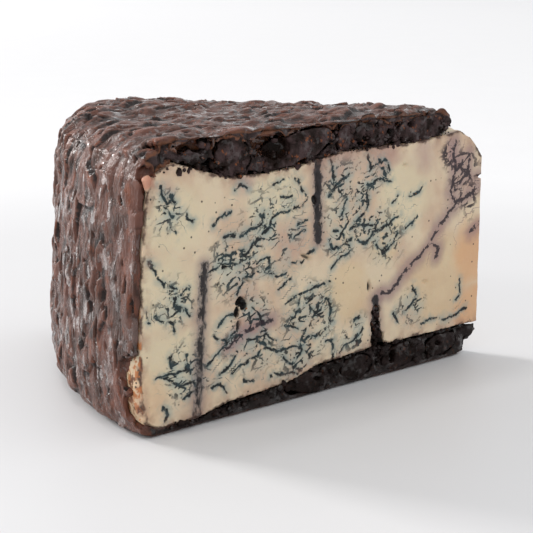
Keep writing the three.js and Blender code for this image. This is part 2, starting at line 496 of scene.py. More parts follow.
# %% [markdown]
# Blue mould follows cracks in the curd. The main veins are drawn on the front cut, as one would
# with a fine brush: each stroke is distance from the tip, height, distance, height and so on.
# The back cut gets the same strokes upside down. They are only guides: the relief measures how far
# every point of the paste is from its closest guide, after leading the point a little astray, so that
# the vein wriggles. The material turns that measure into a line of mould with a blue haze.

# %% Guides for the veins
VEINS = [
    (134, 50, 132, 48, 131, 45, 129, 42), (127, 40, 125, 38, 126, 36, 122, 35, 120, 33), (127, 42, 125, 41),
    (123, 39, 121, 41, 120, 40), (135, 36, 134, 33), (132, 35, 130, 33), (128, 32, 126, 31, 126, 29),
    (127, 22, 127, 19), (132, 17, 129, 17, 125, 17, 121, 18), (129, 16, 125, 14, 121, 13),
    (130, 8, 128, 7, 128, 6, 129, 4), (130, 70, 129, 67, 127, 65), (126, 67, 125, 65), (128, 64, 126, 61),
    (126, 58, 124, 56), (121, 61, 119, 59), (122, 22, 121, 17, 119, 12), (123, 9, 120, 10),
    (112, 57, 109, 59, 106, 60), (108, 53, 106, 53, 101, 53, 97, 54, 94, 56, 93, 59),
    (94, 52, 91, 54, 91, 56, 88, 57, 83, 58, 79, 59, 77, 60), (110, 47, 105, 48, 101, 49),
    (102, 47, 99, 48, 96, 51), (113, 44, 108, 45, 103, 45, 97, 46), (96, 44, 93, 45, 91, 45, 91, 43),
    (82, 50, 78, 51), (80, 53, 77, 54), (82, 42, 79, 42, 76, 44, 74, 45), (104, 36, 101, 40, 96, 41),
    (93, 41, 91, 42), (91, 40, 88, 39, 85, 39), (88, 35, 83, 37), (104, 66, 102, 67, 99, 66),
    (90, 66, 86, 67), (82, 68, 80, 66, 78, 62), (87, 62, 83, 62), (85, 30, 82, 32, 79, 32, 73, 33, 67, 34),
    (80, 32, 80, 28, 82, 25, 85, 24, 80, 22), (76, 30, 75, 27, 73, 25, 71, 26, 69, 29),
    (68, 29, 67, 23, 66, 21), (99, 22, 93, 22, 89, 20), (96, 21, 93, 19, 88, 16, 83, 17, 79, 16, 78, 20),
    (115, 17, 110, 20, 107, 22), (106, 13, 102, 15, 96, 16, 93, 19), (110, 14, 106, 16, 104, 19),
    (86, 14, 82, 11, 79, 14, 79, 16), (78, 18, 74, 18, 69, 19), (69, 16, 66, 16, 66, 10, 65, 5),
    (112, 25, 107, 23, 104, 25), (111, 28, 108, 30, 104, 30), (98, 31, 95, 29, 94, 26),
    (113, 10, 110, 11, 108, 8), (101, 10, 97, 9), (91, 9, 86, 9, 80, 8), (68, 46, 66, 44, 63, 44, 59, 46),
    (52, 62, 46, 63, 42, 62), (52, 62, 52, 56, 53, 54, 57, 51), (50, 47, 45, 48, 38, 51),
    (48, 43, 45, 40, 41, 42, 39, 45), (59, 49, 55, 50, 50, 49), (67, 38, 64, 41, 60, 42),
    (68, 60, 64, 64, 60, 66), (61, 59, 63, 54), (56, 58, 53, 57), (66, 50, 62, 48, 60, 44),
    (56, 46, 53, 44, 50, 46), (35, 20, 32, 21, 30, 23), (27, 14, 23, 15, 20, 15), (31, 27, 30, 24),
    (63, 11, 58, 14, 53, 17), (57, 20, 55, 21), (34, 56, 31, 57, 28, 59), (36, 46, 32, 48, 30, 50),
    (41, 55, 39, 57), (9, 26, 9, 21, 11, 19), (17, 14, 12, 14, 5, 16), (40, 20, 38, 16), (68, 71, 66, 65),
    (52, 71, 51, 67, 45, 69, 43, 65), (48, 70, 46, 66, 44, 64),
]
STREAKS = [
    (14, 72, 13, 62, 15, 56, 12, 51, 15, 49, 19, 46, 22, 43, 24, 40, 28, 37),
    (28, 37, 31, 35, 34, 33, 38, 30, 42, 27, 45, 27), (12, 51, 8, 53, 2, 56), (24, 40, 20, 38, 21, 35),
    (10, 65, 13, 62, 14, 58), (6, 67, 7, 62, 5, 59, 1, 60), (13, 63, 10, 63, 7, 62),
    (8, 62, 10, 58, 13, 56), (5, 41, 1, 43), (107, 21, 102, 24, 96, 26, 90, 26),
]


FLIP_ALONG, FLIP_UP = 146, 82


def guides(name, strokes):
    """Each stroke drawn on the front cut, and again, the other way up and round, on the back one."""
    lines = []
    for stroke in strokes:
        points = list(zip(stroke[::2], stroke[1::2]))
        lines.append(line(name, [on_cut("front", s, z) for s, z in points]))
        turned = [(FLIP_ALONG - s, FLIP_UP - z) for s, z in points]
        lines.append(line(name, [on_cut("back", s, z) for s, z in turned if s > 2] or [TIP]))
    return joined(lines, name)


# %% Relief of the paste
# Soft paste swells where the crust is torn: distance, height, depth behind the front cut, reach, rise.
BULGES = [
    (PASTE_RADIUS, 19, 4.5, 6.5, 2.0), (PASTE_RADIUS, 21, 8.5, 4, 1.2), (PASTE_RADIUS - 0.5, 8, 3, 6, 1.6),
    (133.4, 72.4, 0.8, 3, 1.2),
]


def to_guide(relief, guide, size, far):
    """From each point, led astray within its own surface, the way to the closest guide, in mm."""
    led = relief.wander(relief.mm, size, far)
    led = relief.wander(led, size / 4, far / 3)
    astray = relief.vector("SUBTRACT", led, relief.mm)
    out = relief.vector("DOT_PRODUCT", astray, relief.normal)
    flat = relief.vector("SUBTRACT", astray, relief.scaled(relief.normal, out))
    start = relief.scaled(relief.vector("ADD", relief.mm, flat), MM)
    shape = relief.put("GeometryNodeObjectInfo", {"Object": guide}).outputs["Geometry"]
    near = relief.put(
        "GeometryNodeProximity", {"Target": shape, "Source Position": start}, target_element="EDGES"
    )
    return relief.scaled(relief.vector("SUBTRACT", near.outputs["Position"], start), 1 / MM)


needles = [line("needle", [on_cut(side, *foot), on_cut(side, *head)]) for side, foot, head, _, _ in CHANNELS]
edges = [line("edge", [on_cut(side, s, z) for s, z in PASTE_OUTLINE]) for side in ("front", "back")]
relief = Relief(cheese)
measured = {}
for name, guide, size, far in (
    ("to_vein", guides("vein_guide", VEINS), 4.5, 1.6),
    ("to_streak", guides("streak_guide", STREAKS), 6, 1.6),
    ("to_channel", joined(needles, "channel_guide"), 3, 0.5),
    ("to_edge", joined(edges, "edge_guide"), 4, 1.4),
):
    measured[name] = (guide, to_guide(relief, guide, size, far))
    relief.keep(name, measured[name][1], "FLOAT_VECTOR")
relief.keep("depth", relief.math("MINIMUM", relief.behind("front"), relief.behind("back")))
groove = relief.fade(relief.length(measured["to_vein"][1]), 0.9, 0.0)
broken = relief.fade(relief.noise(relief.mm, 3.0), 0.4, 0.6)
swell = relief.ripple(relief.mm, 9, 0.9, 3.0)
grain = relief.ripple(relief.mm, 1.8, 0.22)
sunk = relief.product(groove, broken, -0.35)
height = relief.total(swell, grain, sunk)
for s, z, depth, reach, rise in BULGES:
    centre = tuple(on_cut("front", s, z, depth) / MM)
    away = relief.apart(relief.wander(relief.mm, 3, 1.2), centre)
    lumpy = relief.fade(relief.noise(relief.mm, 2.6, 2.0, 0.6), 0.35, 0.6, 0.1, 1.0)
    height = relief.total(height, relief.product(relief.fade(away, reach, 0, 0.0, rise), lumpy))
relief.raise_by(height)
relief.finish()
for guide, _ in measured.values():
    drop(guide)

# %% [markdown]
# ## The crust
# The crust is one skin over the top, the rim and the underside. Its outline follows the wheel on the
# outside and comes back along the paste on the inside. Whole fruits are pressed into it, and each
# needs a pocket that is a little larger than itself, which leaves a dark crevice all round.

# %% The crust's slice
SKIN_OUTLINE = [
    (0, 8), (2.5, 5), (6, 1.2), (10, 0.3), (RADIUS - 6.5, 0.3), (RADIUS - 2.6, 1.5), (RADIUS - 0.7, 5),
    (RADIUS, 12), (RADIUS, 26), (RADIUS - 1.1, 48), (RADIUS - 2.3, 62), (RADIUS - 3.1, 71.5),
    (RADIUS - 5.4, 77.5), (RADIUS - 10, 81), (RADIUS - 17, HEIGHT), (19.5, HEIGHT), (15.5, 80),
    (14.5, 76), (15.2, 74.5),
]
covered = PASTE_OUTLINE[: PASTE_OUTLINE.index((16, 74.4)) + 1]
crust = turned_slice("crust", SKIN_OUTLINE + covered[::-1])

# %% The cut fruits, as (node, side, distance, height, half sizes, lean)
FRUITS = [
    ("cut_fruit_round", "front", 104.5, 75.5, (6.4, 5.6, 8), 10),
    ("cut_fruit_wide", "front", 80, 75.6, (14, 4.6, 11), -14),
    ("cut_fruit_narrow", "front", 61.4, 77, (2.6, 4, 6), 22),
    ("cut_fruit_folded", "front", 49, 77.6, (8.2, 3.8, 9), 4),
    ("cut_fruit_end", "front", 28.6, 77.4, (10.4, 3.9, 8), -3),
    ("base_fruit_outer", "front", 75.6, 4, (8.6, 3.4, 8), 8),
    ("base_fruit_middle", "front", 55.6, 5.2, (6.6, 3.9, 7), 0),
    ("base_fruit_split", "front", 36.6, 5, (8, 4, 9), -4),
    ("base_fruit_inner", "front", 17, 5.4, (7.6, 3.8, 6), -6),
    ("back_fruit_shoulder", "back", 116, 76.8, (6.4, 2.8, 7), 6),
    ("back_fruit_long", "back", 95, 75.2, (10.6, 4.4, 9), 8),
    ("back_fruit_round", "back", 73, 75.8, (7, 4.2, 8), -8),
    ("back_fruit_flat", "back", 50, 76.4, (10.8, 3.7, 9), 3),
    ("back_fruit_end", "back", 30, 76.2, (6.8, 3.9, 6), 0),
    ("back_base_outer", "back", 66, 4.8, (9.6, 3.6, 8), 4),
    ("back_base_inner", "back", 36, 5.2, (9, 3.9, 7), -3),
]
HOLLOWS = {
    "front": [
        (117, 79.6, (6.4, 1.5, 7), -3), (123.6, 79.9, (2.6, 0.9, 5), -8), (90.8, 77.9, (6.6, 3.2, 8), 8),
        (88, 74.4, (3.2, 3.0, 6), 0), (112.5, 73.6, (3.2, 1.3, 4), 24), (132, 79.2, (3.6, 1.0, 5), -14),
        (64.6, 79, (0.9, 3.2, 6), 34), (38.6, 79.4, (1.2, 1.1, 4), 0),
    ],
    "back": [
        (107, 79, (3.4, 1.3, 6), 6), (84, 79.2, (3.6, 1.6, 7), -4), (62.5, 77, (1.0, 2.8, 5), -30),
        (39, 77.6, (1.0, 2.2, 5), 14), (52, 5, (2.0, 1.4, 4), 10),
    ],
}
pockets = [
    pebble(side, s, z, [size - 0.2 for size in half], lean, crumple=1.4)
    for _, side, s, z, half, lean in FRUITS
]
pockets += pebbles(HOLLOWS, 0.8)
torn = [
    pebble("front", RADIUS - 0.4, 18.5, (3.8, 5.8, 8.0), -4, crumple=4.2),
    pebble("front", RADIUS - 1.4, 8.5, (3.4, 6.0, 5.4), -8, crumple=4.2),
    pebble("front", RADIUS - 5.6, 73.4, (2.6, 3.0, 3.0), 20, crumple=1.4),
]
cut_out(crust, pockets + torn)
use(crust, "REMESH", mode="VOXEL", voxel_size=CRUST_GRID * MM)
radius, height, near_cut = wheel_places(coordinates(crust))
rim = np.interp(height, [z for _, z in SKIN_OUTLINE[3:15]], [r for r, _ in SKIN_OUTLINE[3:15]])
inside = (radius < rim - 1.3) & (height < 79.2) & (near_cut > 4) & (radius > 19)
melt(crust, inside & (height > 1.0), 0.03)
melt(crust, coordinates(crust)[:, 2] < 0.8, 0.3)

# %% [markdown]
# Dried fruit pressed flat makes a skin like old leather: broad folds that lap over one another, small
# folds between them, and now and then a slit or a pit. Slow noise multiplied up and cut down to its
# fraction climbs gently and then drops, which is just how a fold laps. Squeezing the pattern's height
# makes the folds stand upright on the rim. Slits and pits sit in the middles of Voronoi cells. The
# cut edge of the crust is crumbly instead, so it gets rounded grains. No point rises or sinks past a
# limit, so that the piece keeps to its size and the paste never shows through.

# %% Relief of the crust
MOST_RISE, MOST_DIP = 2.25, 1.75
# Broad swellings: distance, height, depth behind the front cut, reach and rise, all in mm.
SWELLINGS = [
    (49, 82, 16, 13, 2.0), (70, 82, 8, 9, -1.3), (30, 82, 8, 9, 0.8), (92, 82, 30, 14, 1.1),
    (118, 82, 62, 14, 1.5), (112, 82, 14, 10, 0.8), (139, 60, 12, 9, 0.8), (60, 82, 40, 12, -1.0),
]


def pressed_skin(tree, place, broad, calm):
    """Height in mm of skin with folds along Y of a flat place and broad waves; its dips; its crests."""
    noise, fade, product, total, most = tree.noise, tree.fade, tree.product, tree.total, tree.most
    led = tree.wander(tree.stretched(place, 1, 0.5, 1), 7, 2.6)
    waves = tree.ripple(tree.stretched(place, 1, 0.7, 1), 17, broad)
    lap = tree.math("FRACT", product(noise(led, 14, 1.5), 6.5))
    strong = product(fade(noise(place, 13, 1.0), 0.4, 0.6, 0.2, 1.0), calm)
    lapped = product(fade(lap, 0.0, 0.88), fade(lap, 1.0, 0.92), strong)
    small = tree.math("FRACT", product(noise(led, 7, 1.0), 4.0))
    small_lapped = product(fade(small, 0.0, 0.8), fade(small, 1.0, 0.88), calm)
    flat = {"voronoi_dimensions": "2D"}
    slit = fade(tree.cells(tree.stretched(led, 1, 0.6, 1), 10, **flat), 0.12, 0.055)
    pit = fade(tree.cells(led, 5.2, **flat), 0.19, 0.1)
    pit = product(pit, fade(noise(place, 8), 0.5, 0.56))
    height = total(
        waves, product(lapped, 1.3), product(small_lapped, 0.35),
        product(slit, -2.4), product(pit, -1.3), -0.45,
    )
    edge = product(total(fade(lap, 0.2, 0.0), fade(lap, 0.92, 0.98)), strong)
    small_edge = total(fade(small, 0.16, 0.0), fade(small, 0.9, 0.97))
    small_edge = product(small_edge, calm)
    # The dips mask, with the low parts of the waves, is where the crust's material paints shade; the crests
    # mask is where it paints a highlight.
    cavity = fade(waves, 0.0, -0.9, 0.0, 0.3)
    dips = most(edge, product(small_edge, 0.45), slit, pit, cavity)
    small_crest = product(fade(small, 0.5, 0.8), 0.5)
    crests = most(product(fade(lap, 0.5, 0.85), strong), small_crest)
    return most(height, -MOST_DIP), dips, tree.less(crests, dips, clamp=True)


def crumbly(tree, place, size, depth):
    """Height in mm of a cut or broken face: rounded grains, and pits between them."""
    grain = tree.cells(tree.wander(place, size, size * 0.3), size, feature="SMOOTH_F1")
    pits = tree.fade(tree.noise(place, size * 1.7, 3.0), 0.42, 0.3)
    height = tree.less(tree.fade(grain, 0.7, 0.1), tree.product(pits, 1.3))
    return tree.product(tree.less(height, 0.5), depth)


relief = Relief(crust)
east, north, up = relief.split(relief.mm)
from_tip = relief.split(relief.vector("SUBTRACT", relief.mm, tuple(TIP / MM)))
reach = relief.length(relief.build(from_tip[0], from_tip[1]))
rim_strip = relief.fade(reach, RADIUS - 6.5, RADIUS - 4.5, 1.0, 0.0)
within = relief.product(
    relief.fade(up, 79.6, 78.6), relief.fade(up, 0.8, 1.6),
    relief.fade(reach, RADIUS - 15, RADIUS - 13, 1.0, 0.0),
)
cut = relief.product(relief.most(relief.facing("front"), relief.facing("back"), within), rim_strip)
upward = relief.split(relief.normal)["Z"]
on_top = relief.fade(relief.math("ABSOLUTE", upward), 0.45, 0.8)
angle = relief.math("ARCTAN2", from_tip[1], relief.product(from_tip[0], -1.0))
unrolled = relief.build(relief.product(angle, RADIUS), up)
from_above = relief.build(north, east)
calm = relief.fade(relief.behind("front"), 8, 30, 0.35, 1.0)
rim_skin = pressed_skin(relief, unrolled, 2.8, calm)
top_skin = pressed_skin(relief, from_above, 3.9, 1.0)
wrinkled, dips, crests = [relief.blend(on_top, *pair) for pair in zip(rim_skin, top_skin)]
broken = relief.total(crumbly(relief, relief.mm, 3.6, 1.7), crumbly(relief, relief.mm, 1.6, 0.5), -0.7)
height = relief.blend(cut, wrinkled, broken)
height = relief.product(height, relief.fade(up, 0.6, 4.0, 0.12, 1.0))
for s, z, depth, reach, rise in SWELLINGS:
    away = relief.apart(relief.mm, tuple(on_cut("front", s, z, depth) / MM))
    height = relief.total(height, relief.fade(away, reach, 0, 0.0, rise))
height = relief.math("MINIMUM", height, MOST_RISE)
depth = relief.math("MINIMUM", relief.behind("front"), relief.behind("back"))
for name, value in dict(cut=cut, dips=dips, crests=crests, on_top=on_top, depth=depth).items():
    relief.keep(name, value)
relief.raise_by(height)
relief.finish()


# %% [markdown]
# ## The cut fruits
# Each cut fruit starts as a ball, stretched and leant like the real one and sliced by the cut. Some
# show the star-shaped hollow that a stone leaves. A star is a cone whose every second corner is
# pulled in, sunk into the face and taken away.

# %% One cut fruit
def sliced(obj, side):
    """Cuts away what stands out of the cheese's cut, and closes the face."""
    edit(obj)
    bpy.ops.mesh.select_all(action="SELECT")
    bpy.ops.mesh.bisect(plane_co=TIP, plane_no=INWARD[side], clear_inner=True, use_fill=True)
    edit_done()
    return obj


def star(side, distance, height, reach, turn=0.0, arms=3):
    """A star-shaped hollow, its arms reaching so many millimetres."""
    bpy.ops.mesh.primitive_cone_add(
        vertices=arms * 2, radius1=reach * MM, radius2=reach * 0.3 * MM, depth=6 * MM
    )
    obj = bpy.context.object
    edit(obj)
    select_vertices(obj, lambda co: round(math.atan2(co.x, co.y) / math.pi * arms) % 2 == 1)
    bpy.ops.transform.resize(value=(0.22, 0.22, 1))
    bpy.ops.mesh.select_all(action="SELECT")
    bpy.ops.mesh.subdivide(number_cuts=2)
    edit_done()
    lie = INWARD[side].to_track_quat("Z", "X").to_matrix().to_4x4()
    obj.matrix_world = (
        Matrix.Translation(on_cut(side, distance, height)) @ lie @ Matrix.Rotation(turn, 4, "Z")
    )
    return roughened(placed(obj, "star"), 1.5, 0.5)


VOIDS = {
    "cut_fruit_round": [star("front", 105.6, 77, 1.8, 0.4), pebble("front", 108.5, 72.6, (1.6, 0.8, 2))],
    "cut_fruit_wide": [star("front", 72.4, 75.5, 2.2, 1.0, 4), pebble("front", 79, 71.8, (2.4, 0.5, 2), -10),
                       pebble("front", 89.4, 77.2, (6.0, 4.2, 6.0), 22, crumple=1.2)],
    "cut_fruit_folded": [
        pebble("front", 52.6, 76.2, (1.4, 1.3, 3)), pebble("front", 48.4, 79.6, (0.9, 1.5, 3)),
        pebble("front", 41.4, 77, (2.7, 1.2, 4), 10), pebble("front", 44.5, 75.4, (1.2, 0.7, 2)),
    ],
    "cut_fruit_end": [star("front", 24.2, 77.3, 2.3, 0.2), pebble("front", 33.6, 78.8, (1.7, 1.0, 3))],
    "base_fruit_split": [pebble("front", 40, 5.6, (1.4, 2.2, 3)), star("front", 34, 4.6, 1.6, 0.7)],
    "base_fruit_outer": [pebble("front", 72, 4.6, (2.2, 0.6, 2), 14)],
    "base_fruit_inner": [pebble("front", 18.6, 6, (1.6, 0.6, 2), 20)],
    "back_fruit_long": [star("back", 96, 76.2, 2.4, 0.5), pebble("back", 88, 76.6, (1.6, 0.8, 2))],
    "back_fruit_round": [star("back", 73, 75.8, 2.2, 0.9, 4)],
    "back_fruit_flat": [pebble("back", 53, 77.8, (2.6, 0.9, 3), 8), pebble("back", 45, 77, (1.2, 1.2, 2))],
    "back_fruit_end": [star("back", 30, 77.2, 1.9)],
    "back_base_outer": [pebble("back", 68, 5, (2.4, 0.7, 2), 12)],
}
ROUGHNESS = {"cut_fruit_folded": 0.9, "cut_fruit_round": 0.75, "cut_fruit_wide": 0.2, "back_fruit_long": 0.25}


def cut_fruit(node, side, distance, height, half, lean):
    """One fruit, sliced by a cut, with its hollows and its grain."""
    obj = pebble(side, distance, height, half, lean, crumple=1.4)
    roughened(obj, 2.6, 0.9)
    obj = sliced(obj, side)
    if node in VOIDS:
        cut_out(obj, VOIDS[node])
    use(obj, "REMESH", mode="VOXEL", voxel_size=FRUIT_GRID * MM)
    obj.name = obj.data.name = node + "_flesh"
    relief = Relief(obj)
    relief.keep("depth", relief.behind(side))
    middle = on_cut(side, distance, height) / MM
    dome = relief.fade(relief.apart(relief.mm, tuple(middle)), max(half), 0.0, -0.5, 0.4)
    grain = crumbly(relief, relief.mm, 1.9, ROUGHNESS.get(node, 0.45))
    relief.raise_by(relief.total(grain, relief.product(dome, relief.facing(side))))
    relief.finish()
    return obj


fruits = {shape[0]: cut_fruit(*shape) for shape in FRUITS}
print(len(fruits), "fruits of", sum(len(obj.data.polygons) for obj in fruits.values()), "faces")


# %% [markdown]
# ## Crumbs
# Cutting drags small crumbs of dried fruit along the cuts, most of all where crust and paste meet.
# They are modelled once, as three angular lumps of twenty faces, and copied a few hundred times.

# %% Crumbs along the cuts
def on_outline(points, s):
    return float(np.interp(s, [r for r, _ in points], [z for _, z in points]))


PASTE_FOOT, PASTE_HEAD = PASTE_OUTLINE[:7], PASTE_OUTLINE[-10:-3][::-1]


def crumb(name, seed):
    bpy.ops.object.select_all(action="DESELECT")
    bpy.ops.mesh.primitive_ico_sphere_add(subdivisions=1, radius=MM)
    obj = bpy.context.object
    obj.name = name
    bpy.ops.object.mode_set(mode="EDIT")
    bpy.ops.transform.vertex_random(offset=0.35 * MM, seed=seed)
    return edit_done()


def scatter(name, along_cuts, in_gash):
    """Crumbs over the crust's cut faces, crowded towards the paste, and a heap of them in the gash."""
    lumps = [crumb("crumb", seed) for seed in (1, 2, 3)]
    copies = []

    def lay(number, place, size, least, greatest):
        """One more crumb at a place, turned anyhow, each side its own share of the size."""
        copy = lumps[number % 3].copy()
        copy.data = copy.data.copy()
        bpy.context.collection.objects.link(copy)
        copy.location = place
        copy.rotation_euler = [draw.uniform(0, 6.28) for _ in range(3)]
        copy.scale = [size * draw.uniform(least, greatest) for _ in range(3)]
        copies.append(copy)

    for number in range(along_cuts):
        side = "front" if number % 5 < 3 else "back"
        s, top = draw.uniform(16, 130), draw.random() < 0.6
        border, outer = (on_outline(PASTE_HEAD, s), 80.5) if top else (on_outline(PASTE_FOOT, s), 1.2)
        share = draw.random() ** 2.2 if draw.random() < 0.7 else draw.random()
        z = border + (outer - border) * share + draw.gauss(0, 0.35)
        size = 0.28 + 0.95 * draw.random() ** 3
        lay(number, on_cut(side, s, z, draw.uniform(-0.15, 0.5) * size), size, 0.7, 1.3)
    for number in range(in_gash):
        rise = draw.random()
        s = 46.8 + rise + draw.uniform(-1, 1) * (3.0 - 2.2 * rise)
        lay(number, on_cut("front", s, 4 + 21 * rise, draw.uniform(0.3, 2.4)), 1, 0.5, 1.2)
    for lump in lumps:
        drop(lump)
    return placed(joined(copies, name), name)


draw = random.Random(11)
crumbs = scatter("crumbs", along_cuts=620, in_gash=90)
print(len(crumbs.data.polygons), "faces of crumbs")

# %% [markdown]
# ## Finishes
# A material reads Object coordinates, turned into millimetres. The cut flesh of dried fruit shows on
# the fruits and on the crust between them, so it is a group of its own: it gives a colour, a
# roughness, a height and how wet it is, and each material adds them to what else it has.

# %% Starting a material
def new_material(name):
    """A material, its node writer, its Principled shader, and the object's own place in mm."""
    made = bpy.data.materials.new(name)
    made.use_nodes = True
    nodes = Nodes(made.node_tree)
    place = nodes.scaled(nodes.put("ShaderNodeTexCoord").outputs["Object"], 1 / MM)
    return made, nodes, made.node_tree.nodes["Principled BSDF"], place


def attribute(nodes, name, output="Fac"):
    return nodes.put("ShaderNodeAttribute", attribute_name=name).outputs[output]


def connect(nodes, shader, height=None, depth=0.3, **sockets):
    """Feeds the shader's sockets, and its normal from a height that is depth millimetres high."""
    for name, value in sockets.items():
        socket = shader.inputs[name.replace("_", " ")]
        if isinstance(value, bpy.types.NodeSocket):
            nodes.tree.links.new(value, socket)
        else:
            socket.default_value = value
    if height is not None:
        bump = nodes.put("ShaderNodeBump", {"Height": height, "Distance": depth * MM, "Strength": 1.0})
        nodes.tree.links.new(bump.outputs[0], shader.inputs["Normal"])


def dress(obj, finish):
    obj.data.materials.clear()
    obj.data.materials.append(finish)
    alone(obj)
    bpy.ops.object.shade_smooth()


# %% The cut flesh of dried fruit
def flesh_group():
    tree = bpy.data.node_groups.new("fruit_flesh", "ShaderNodeTree")
    for name, in_out, kind in (
        ("Place", "INPUT", "Vector"), ("Depth", "INPUT", "Float"),
        ("Colour", "OUTPUT", "Color"), ("Roughness", "OUTPUT", "Float"), ("Height", "OUTPUT", "Float"),
        ("Wet", "OUTPUT", "Float"),
    ):
        tree.interface.new_socket(name, in_out=in_out, socket_type="NodeSocket" + kind)
    nodes = Nodes(tree)
    noise, fade, wander, mix = nodes.noise, nodes.fade, nodes.wander, nodes.mix
    product, most, less = nodes.product, nodes.most, nodes.less
    given = nodes.put("NodeGroupInput").outputs
    place = given["Place"]
    veil = fade(noise(place, 4.5, 4.0, 0.6), 0.36, 0.66)
    colour = mix(veil, (0.008, 0.003, 0.0015), (0.060, 0.037, 0.037))
    sugar = fade(noise(place, 0.55, 2.0, 0.7), 0.62, 0.8)
    colour = mix(product(sugar, 0.35), colour, (0.08, 0.06, 0.06))
    amber = fade(noise(wander(place, 3, 1), 2.0, 3.0, 0.65), 0.62, 0.68)
    colour = mix(product(amber, 0.75), colour, (0.22, 0.07, 0.025))
    # Darker the deeper a point lies behind the cut: painted shade in the flesh's hollows and crevices.
    deep = fade(given["Depth"], 0.5, 2.2)
    colour = mix(product(deep, 0.8), colour, (0.008, 0.004, 0.002))
    # Darker towards the table: painted shade along the foot of the wheel.
    shade_near_table = fade(nodes.split(place)["Z"], 30, 12, 0.0, 0.75)
    colour = mix(shade_near_table, colour, (0.005, 0.002, 0.001))
    wet = fade(noise(place, 2.2, 3.0, 0.6), 0.5, 0.68)
    rough = less(0.62, product(most(wet, deep), 0.36))
    height = noise(place, 0.7, 4.0, 0.7)
    glaze = fade(noise(wander(place, 2, 1), 3.4, 3.0, 0.6), 0.54, 0.6, 0.0, 0.65)
    nodes.put("NodeGroupOutput", {0: colour, 1: rough, 2: height, 3: glaze})
    return tree


flesh_tree = flesh_group()


def flesh(nodes, place, depth):
    return nodes.put("ShaderNodeGroup", {"Place": place, "Depth": depth}, node_tree=flesh_tree).outputs


# %% The fruits' finish
def fruit_finish():
    made, nodes, shader, place = new_material("cut_dried_fruit")
    look = flesh(nodes, place, attribute(nodes, "depth"))
    connect(nodes, shader, look["Height"], 0.3, Base_Color=look["Colour"], Roughness=look["Roughness"],
            Coat_Weight=look["Wet"], IOR=1.22, Coat_Roughness=0.08)
    return made


# %% The crust's finish
def crust_finish():
    made, nodes, shader, place = new_material("pressed_fruit_skin")
    noise, fade, wander, mix = nodes.noise, nodes.fade, nodes.wander, nodes.mix
    product, total, most = nodes.product, nodes.total, nodes.most
    dips, crests, cut, on_top = [attribute(nodes, name) for name in ("dips", "crests", "cut", "on_top")]
    upright = nodes.stretched(place, 1, 1, 0.5)
    tone = noise(upright, 8, 4.0, 0.6)
    colour = mix(fade(tone, 0.36, 0.62), (0.030, 0.011, 0.006), (0.098, 0.037, 0.025))
    # Lighter on the crests of the folds: a painted highlight.
    colour = mix(product(crests, 0.55), colour, (0.22, 0.098, 0.070))
    rust = fade(noise(wander(upright, 3, 1.5), 2.6, 3.0, 0.65), 0.53, 0.66)
    rust = product(rust, nodes.blend(most(dips, crests), 0.25, 0.85))
    colour = mix(rust, colour, (0.20, 0.052, 0.018))
    # Nearly black in the dips, creases, slits and pits: painted shade.
    colour = mix(fade(dips, 0.12, 0.6, 0.0, 0.97), colour, (0.010, 0.004, 0.003))
    drawn_up = noise(wander(nodes.stretched(place, 1, 1, 0.3), 2, 0.8), 0.9, 3.0, 0.6)
    drawn_out = noise(wander(nodes.stretched(place, 0.35, 1, 1), 2, 0.8), 0.9, 3.0, 0.6)
    wet = fade(noise(wander(upright, 4, 2), 4.2, 3.0, 0.65), 0.57, 0.59)
    beads = noise(wander(place, 1, 0.5), 1.3, 2.0, 0.5)
    wrinkle = total(nodes.blend(on_top, drawn_up, drawn_out), product(wet, beads, 2.5))
    rough = fade(noise(place, 3, 3.0), 0.3, 0.7, 0.2, 0.4)
    look = flesh(nodes, place, attribute(nodes, "depth"))
    colour = mix(cut, colour, look["Colour"])
    high = fade(nodes.split(place)["Z"], 50, 70)
    # Inside the big hollow the flesh turns to glossy brown syrup: partly its own colour, partly painted light
    # on an interior in shade, with the sheen noise as a painted sheen.
    middle = tuple(on_cut("front", 89, 77, 4) / MM)
    hollow = fade(nodes.apart(wander(place, 4, 1.5), middle), 9, 7)
    hollow = product(hollow, fade(attribute(nodes, "depth"), 0.9, 1.8), cut)
    sheen = fade(noise(wander(place, 5, 2), 6, 2.0), 0.35, 0.65)
    syrup_and_painted_light = mix(sheen, (0.045, 0.014, 0.006), (0.16, 0.062, 0.03))
    colour = mix(hollow, colour, syrup_and_painted_light)
    torn_edge = product(fade(cut, 0.04, 0.4), fade(cut, 0.97, 0.6), high, 0.75)
    colour = mix(torn_edge, colour, (0.17, 0.065, 0.03))
    rough = nodes.blend(cut, rough, look["Roughness"])
    height = nodes.blend(cut, wrinkle, look["Height"])
    gloss = nodes.blend(cut, product(wet, fade(dips, 0.2, 0.6, 1.0, 0.2)), look["Wet"])
    gloss = most(gloss, hollow)
    connect(nodes, shader, height, 0.48, Base_Color=colour, Roughness=rough, Coat_Weight=gloss,
            IOR=1.34, Coat_Roughness=0.06, Coat_IOR=1.55)
    return made
